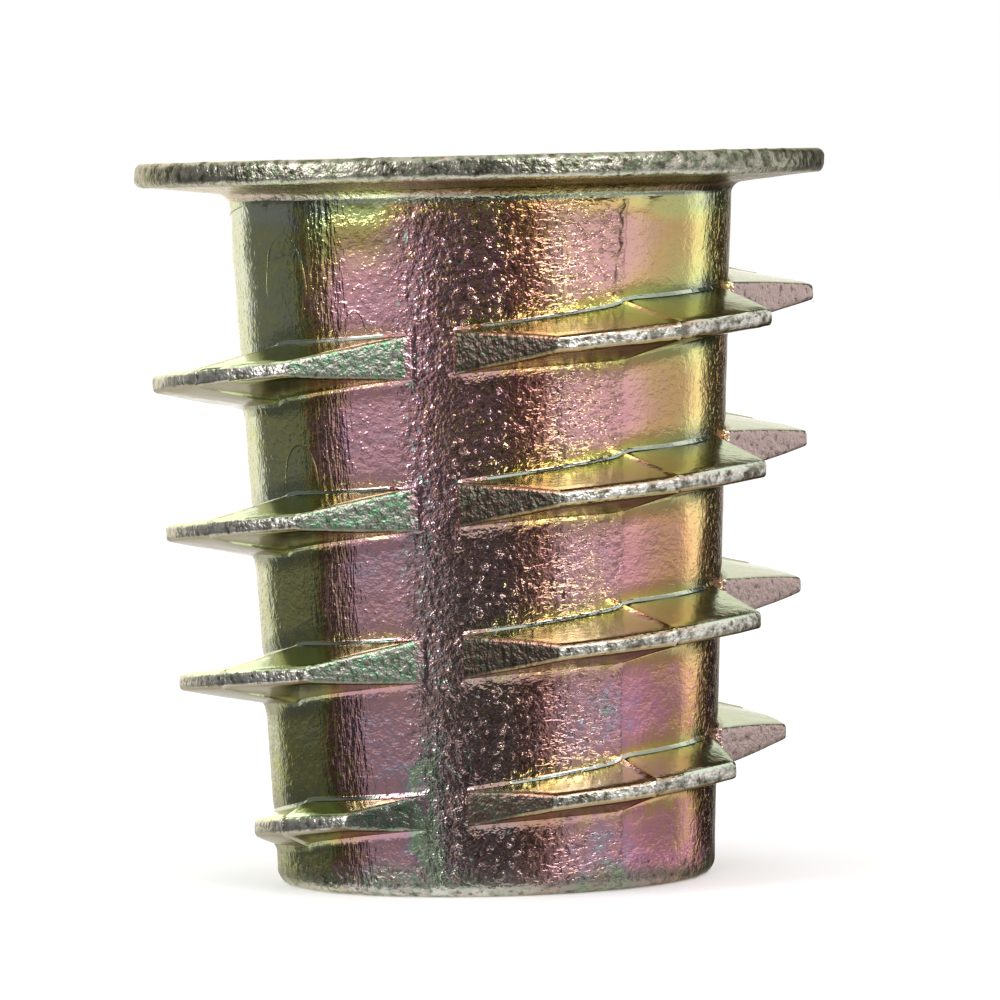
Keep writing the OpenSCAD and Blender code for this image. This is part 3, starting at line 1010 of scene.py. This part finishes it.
def makeInside(f):
    # The socket is cast and has patches of film; the bore is tapped, smoother and paler, with fine rings
    made, tree, shader = startMaterial("chromatedInside")
    place = node(tree, "ShaderNodeTexCoord", (-2200, 0)).outputs["Object"]
    at = stretched(tree, place, (1000, 1000, 1000), (-2000, 0))
    split = node(tree, "ShaderNodeSeparateXYZ", (-1800, -300))
    feed(tree, split.inputs[0], at)
    z = split.outputs[2]
    inBore = remap(tree, z, 13.05, 12.95, place=(-1500, -300))
    drift = noiseOf(tree, at, 0.5, 2.0, 0.55, (-1500, 300))
    mottle = noiseOf(tree, at, 2.6, 3.0, 0.6, (-1500, 100))
    base = remap(tree, inBore, 0.0, 1.0, f["socketFilm"], f["boreFilm"], (-1200, -100), False)
    film = plus(tree, base, remap(tree, drift, 0.38, 0.66, 0.0, 0.42, (-1200, 300)), (-900, 200))
    film = plus(tree, film, times(tree, mottle, 0.22, (-900, 0)), (-700, 200), True)
    colourNow = useGroup(tree, filmGroup, (-500, 200), Thickness=film)["Color"]
    rub = remap(tree, noiseOf(tree, at, 5.0, 2.0, 0.6, (-1500, -600)), 0.52, 0.66, place=(-1200, -600))
    colourNow = blendColours(tree, times(tree, rub, 0.35), colourNow, f["rubbed"], (-200, 100))
    deepDown = times(tree, remap(tree, z, 14.2, 13.05), remap(tree, z, 12.9, 13.0), (-900, -300))
    dirt = times(tree, deepDown, remap(tree, mottle, 0.3, 0.7, 0.1, 0.6, (-900, -500)), (-600, -300))
    colourNow = blendColours(tree, dirt, colourNow, f["dirt"], (100, 100))
    feed(tree, shader.inputs["Base Color"], colourNow)
    shader.inputs["Specular Tint"].default_value = f["edgeTint"]
    smoothest = f["roughness"] - f["mottleRoughness"] / 2
    rough = plus(tree, times(tree, mottle, f["mottleRoughness"], (300, -300)), smoothest, (500, -300))
    feed(tree, shader.inputs["Roughness"], rough)
    marks = stretched(tree, at, (0.25, 0.25, f["toolMarks"]), (-900, -900))
    marks = noiseOf(tree, marks, 1.0, 1.0, 0.5, (-600, -900))
    marks = times(tree, times(tree, marks, inBore), 5.0, (-300, -900))
    inSocket = minus(tree, 1.0, inBore, (-900, -700))
    skin = useGroup(tree, skinGroup, (-600, -700), Coordinates=at, Beads=4.0, Streaks=0.0, Dents=0.0,
                    Grain=plus(tree, times(tree, inSocket, f["grain"] - 4.0), 4.0))
    bump = node(tree, "ShaderNodeBump", (1500, -500))
    setInputs(bump, {"Strength": 1.0, "Distance": 0.000001})
    feed(tree, bump.inputs["Height"], plus(tree, skin["Height"], marks))
    feed(tree, shader.inputs["Normal"], bump.outputs["Normal"])
    return made


def paintInside(piece):
    # Gives the faces of the socket and of the bolt hole the second material
    for face in piece.data.polygons:
        radius, height = math.hypot(face.center.x, face.center.y) / mm, face.center.z / mm
        inSocket = radius < c["mouthRadius"] and height > c["height"] - c["hexDepth"] - 0.05
        inBore = radius < c["boltThreadRadius"] - 0.01
        face.material_index = 1 if inSocket or inBore else 0


insert.data.materials.append(makeOutside(outsideFinish, outsideColours))
insert.data.materials.append(makeInside(insideFinish))
paintInside(insert)
print("stage: finish made")

# Stage: a pale floor, a light tent that only reflections see, and two soft lamps

tent = {
    "radius": 0.14,
    "low": -0.16,
    "high": 0.12,
    "bands": [          # degrees round from the camera, positive to its right, and the cloth's brightness
        (-180, 2.0), (-141, 2.0), (-135, 0.22), (-97, 0.17), (-93, 0.06), (-74, 0.06), (-69, 0.62),
        (-38, 0.66), (-30, 0.40), (-20, 0.12), (22, 0.10), (31, 0.40), (40, 0.92), (74, 0.92), (84, 0.66),
        (106, 0.56), (112, 0.9), (117, 1.5), (122, 1.5), (128, 0.06), (155, 0.05), (162, 0.6), (180, 2.0)],
    "strongest": 2.0,
    "below": 0.8,      # how bright the white table under the tent is
}


def addTent(t):
    deselectAll()
    bpy.ops.mesh.primitive_cylinder_add(vertices=96, radius=t["radius"], depth=t["high"] - t["low"],
                                        end_fill_type="NOTHING", location=(0, 0, (t["high"] + t["low"]) / 2))
    bpy.ops.object.mode_set(mode="EDIT")
    bpy.ops.mesh.select_all(action="DESELECT")
    bpy.ops.object.mode_set(mode="OBJECT")
    for edge in bpy.context.object.data.edges:
        edge.select = all(bpy.context.object.data.vertices[v].co.z < 0 for v in edge.vertices)
    bpy.ops.object.mode_set(mode="EDIT")
    bpy.ops.mesh.select_mode(type="EDGE")
    bpy.ops.mesh.edge_face_add()
    bpy.ops.object.mode_set(mode="OBJECT")
    cloth = bpy.context.object
    cloth.name = "tent"
    bpy.ops.object.transform_apply(location=True)
    for see in ("visible_camera", "visible_diffuse", "visible_transmission", "visible_shadow",
                "visible_volume_scatter"):
        setattr(cloth, see, False)
    made = bpy.data.materials.new("tentCloth")
    made.use_nodes = True
    made.cycles.emission_sampling = "NONE"
    tree = made.node_tree
    tree.nodes.remove(tree.nodes["Principled BSDF"])
    place = node(tree, "ShaderNodeTexCoord", (-1400, 0)).outputs["Object"]
    toCamera = math.radians(cameraSettings["azimuth"] - 90)
    aimed = stretched(tree, place, (1, 1, 1), (-1200, 0), (0, 0, -toCamera))
    split = node(tree, "ShaderNodeSeparateXYZ", (-1000, 0))
    feed(tree, split.inputs[0], aimed)
    turn = maths(tree, "ARCTAN2", split.outputs[1], split.outputs[0], (-800, 0))
    share = remap(tree, turn, -math.pi, math.pi, place=(-600, 0), soft=False)
    stops = [((a + 180) / 360, (v / t["strongest"],) * 3) for a, v in t["bands"]]
    light = rampOf(tree, share, stops, (-400, 0))
    fall = remap(tree, split.outputs[2], -0.0155, -0.001, 0.48, 1.0, (-600, -300), False)
    down = remap(tree, split.outputs[2], -0.05, -0.11, 0.0, 1.0, (-600, -500))
    table = t["below"] / t["strongest"]
    light = blendColours(tree, down, light, (table, table, table, 1), (-200, 0))
    fall = larger(tree, fall, down, (-400, -400))
    glow = node(tree, "ShaderNodeEmission", (0, 0))
    feed(tree, glow.inputs["Color"], light)
    feed(tree, glow.inputs["Strength"], times(tree, fall, t["strongest"], (-200, -400)))
    feed(tree, tree.nodes["Material Output"].inputs["Surface"], glow.outputs[0])
    cloth.data.materials.append(made)
    return cloth


def addFloor():
    deselectAll()
    bpy.ops.mesh.primitive_plane_add(size=6, location=(0, 0, 0))
    floor = bpy.context.object
    floor.name = "floor"
    floor.visible_glossy = False
    made = bpy.data.materials.new("paleFloor")
    made.use_nodes = True
    tree = made.node_tree
    paper = setInputs(tree.nodes["Principled BSDF"], {"Base Color": (0.9, 0.9, 0.9, 1), "Roughness": 0.9})
    lightPath = node(tree, "ShaderNodeLightPath", (-400, -400))
    glow = node(tree, "ShaderNodeEmission", (-200, -400))
    feed(tree, glow.inputs["Strength"], times(tree, lightPath.outputs["Is Camera Ray"], 0.16, (-300, -400)))
    both = node(tree, "ShaderNodeAddShader", (200, 0))
    feed(tree, both.inputs[0], paper.outputs[0])
    feed(tree, both.inputs[1], glow.outputs[0])
    feed(tree, tree.nodes["Material Output"].inputs["Surface"], both.outputs[0])
    floor.data.materials.append(made)
    return floor


def addWorld():
    world = bpy.data.worlds.new("studio")
    bpy.context.scene.world = world
    world.use_nodes = True
    world.cycles.sampling_method = "NONE"
    setInputs(world.node_tree.nodes["Background"], {"Color": (1, 1, 1, 1), "Strength": 1.0})


def addLamp(name, place, size, power):
    deselectAll()
    bpy.ops.object.light_add(type="AREA", location=place)
    lamp = bpy.context.object
    lamp.name = name
    lamp.data.size = size
    lamp.data.energy = power
    lamp.rotation_euler = (-Vector(place)).to_track_quat("-Z", "Y").to_euler()
    return lamp


addTent(tent)
addFloor()
addWorld()
addLamp("leftLamp", (-0.09, -0.08, 0.06), 0.07, 0.07)
addLamp("rightLamp", (0.08, -0.09, 0.07), 0.07, 0.07)
bpy.context.scene.view_settings.view_transform = "Standard"
print("stage: floor, tent and lamps in place")

bpy.context.view_layer.update()
